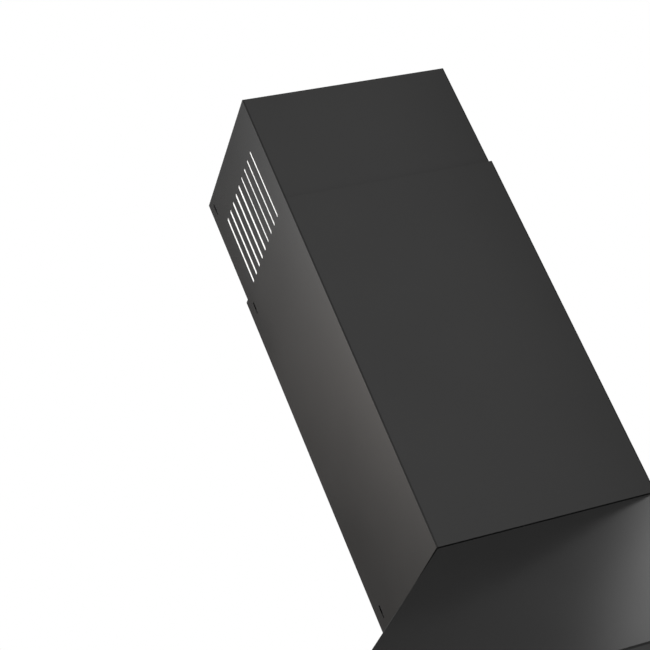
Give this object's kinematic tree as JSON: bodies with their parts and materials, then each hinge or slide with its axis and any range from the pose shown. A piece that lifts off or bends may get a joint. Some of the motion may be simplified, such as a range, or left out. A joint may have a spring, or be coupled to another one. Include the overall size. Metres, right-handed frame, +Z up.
{
  "type": "island range hood",
  "caption": "Ceiling-hung island cooker hood: a pyramid canopy on a telescopic frame with a two-stage box chimney, side vents, blower, grease filters and push buttons.",
  "frame": {"origin": "centre of the ceiling frame's top face, in the ceiling plane", "axes": "+Z up, -Y towards the push buttons (front), +X to the right seen from the front"},
  "size_m": [0.9, 0.6271, 0.977],
  "materials": {
    "black_paint": "satin black powder coat on steel sheet",
    "zinc_steel": "galvanised",
    "bolt_steel": "plated",
    "button_steel": "fine brushed",
    "aluminium": "satin",
    "filter_mesh": "layered expanded mesh",
    "black_plastic": "matte",
    "grey_plastic": "matte",
    "lamp_glass": "frosted",
    "white_fleece": "non-woven"
  },
  "bodies": {
    "ceiling_assembly": {"ceiling_frame": "zinc_steel", "upper_chimney_shell": "black_paint", "upper_chimney_rear_cover": "black_paint", "chimney_screw_left": "bolt_steel", "chimney_screw_right": "bolt_steel", "vent_screen_left": "white_fleece", "vent_screen_right": "white_fleece"},
    "hood": {"lower_leg_front_left": "zinc_steel", "lower_leg_front_right": "zinc_steel", "lower_leg_rear_left": "zinc_steel", "lower_leg_rear_right": "zinc_steel", "frame_bolt_front_left": "bolt_steel", "frame_bolt_front_right": "bolt_steel", "frame_bolt_rear_left": "bolt_steel", "frame_bolt_rear_right": "bolt_steel", "lower_chimney_shell": "black_paint", "lower_chimney_rear_cover": "black_paint", "canopy_panel_front": "black_paint", "canopy_panel_rear": "black_paint", "canopy_panel_left": "black_paint", "canopy_panel_right": "black_paint", "canopy_top_plate": "black_paint", "cable_gland": "black_plastic", "bottom_pan": "black_paint", "lamp_bezel_front_left": "aluminium", "lamp_bezel_front_right": "aluminium", "lamp_bezel_rear_left": "aluminium", "lamp_bezel_rear_right": "aluminium", "lamp_lens_front_left": "lamp_glass", "lamp_lens_front_right": "lamp_glass", "lamp_lens_rear_left": "lamp_glass", "lamp_lens_rear_right": "lamp_glass", "blower_housing_left": "grey_plastic", "blower_housing_right": "grey_plastic", "blower_cradle_left": "zinc_steel", "blower_cradle_right": "zinc_steel", "motor": "zinc_steel", "motor_bracket": "zinc_steel", "duct_collar": "grey_plastic", "control_box": "black_plastic", "button_bezel": "aluminium", "switch_block": "black_plastic"},
    "impeller": {"impeller": "black_plastic", "motor_shaft": "bolt_steel"},
    "damper_left": {"damper_flap_left": "black_plastic"},
    "damper_right": {"damper_flap_right": "black_plastic"},
    "filter_left": {"filter_frame_left": "aluminium", "filter_mesh_left": "filter_mesh"},
    "filter_middle": {"filter_frame_middle": "aluminium", "filter_mesh_middle": "filter_mesh"},
    "filter_right": {"filter_frame_right": "aluminium", "filter_mesh_right": "filter_mesh"},
    "latch_left": {"filter_latch_left": "black_plastic"},
    "latch_middle": {"filter_latch_middle": "black_plastic"},
    "latch_right": {"filter_latch_right": "black_plastic"},
    "button_off": {"button_off": "button_steel"},
    "button_low": {"button_low": "button_steel"},
    "button_medium": {"button_medium": "button_steel"},
    "button_high": {"button_high": "button_steel"},
    "button_light": {"button_light": "button_steel"}
  },
  "joints": [
    {"name": "height_slide", "type": "slide", "parent": "ceiling_assembly", "child": "hood", "axis": [0, 0, 1], "range_m": [-0.2, 0.1]},
    {"name": "impeller_spin", "type": "hinge", "parent": "hood", "child": "impeller", "pos_m": [0, 0, -0.575], "axis": [1, 0, 0], "continuous": true},
    {"name": "damper_left_hinge", "type": "hinge", "parent": "hood", "child": "damper_left", "pos_m": [0, 0, -0.438], "axis": [0, 1, 0], "range_deg": [0, 75]},
    {"name": "damper_right_hinge", "type": "hinge", "parent": "hood", "child": "damper_right", "pos_m": [0, 0, -0.438], "axis": [0, -1, 0], "range_deg": [0, 75]},
    {"name": "filter_left_hinge", "type": "hinge", "parent": "hood", "child": "filter_left", "pos_m": [-0.258, 0.157, -0.9595], "axis": [1, 0, 0], "range_deg": [0, 85]},
    {"name": "filter_middle_hinge", "type": "hinge", "parent": "hood", "child": "filter_middle", "pos_m": [0, 0.157, -0.9595], "axis": [1, 0, 0], "range_deg": [0, 85]},
    {"name": "filter_right_hinge", "type": "hinge", "parent": "hood", "child": "filter_right", "pos_m": [0.258, 0.157, -0.9595], "axis": [1, 0, 0], "range_deg": [0, 85]},
    {"name": "latch_left_slide", "type": "slide", "parent": "filter_left", "child": "latch_left", "axis": [0, 1, 0], "range_m": [0, 0.004], "stiffness_N_per_m": 400, "springref_m": -0.002},
    {"name": "latch_middle_slide", "type": "slide", "parent": "filter_middle", "child": "latch_middle", "axis": [0, 1, 0], "range_m": [0, 0.004], "stiffness_N_per_m": 400, "springref_m": -0.002},
    {"name": "latch_right_slide", "type": "slide", "parent": "filter_right", "child": "latch_right", "axis": [0, 1, 0], "range_m": [0, 0.004], "stiffness_N_per_m": 400, "springref_m": -0.002},
    {"name": "button_off_press", "type": "slide", "parent": "hood", "child": "button_off", "axis": [0, 1, 0], "range_m": [0, 0.0025], "stiffness_N_per_m": 300, "springref_m": -0.001},
    {"name": "button_low_press", "type": "slide", "parent": "hood", "child": "button_low", "axis": [0, 1, 0], "range_m": [0, 0.0025], "stiffness_N_per_m": 300, "springref_m": -0.001},
    {"name": "button_medium_press", "type": "slide", "parent": "hood", "child": "button_medium", "axis": [0, 1, 0], "range_m": [0, 0.0025], "stiffness_N_per_m": 300, "springref_m": -0.001},
    {"name": "button_high_press", "type": "slide", "parent": "hood", "child": "button_high", "axis": [0, 1, 0], "range_m": [0, 0.0025], "stiffness_N_per_m": 300, "springref_m": -0.001},
    {"name": "button_light_press", "type": "slide", "parent": "hood", "child": "button_light", "axis": [0, 1, 0], "range_m": [0, 0.0025], "stiffness_N_per_m": 300, "springref_m": -0.001}
  ]
}
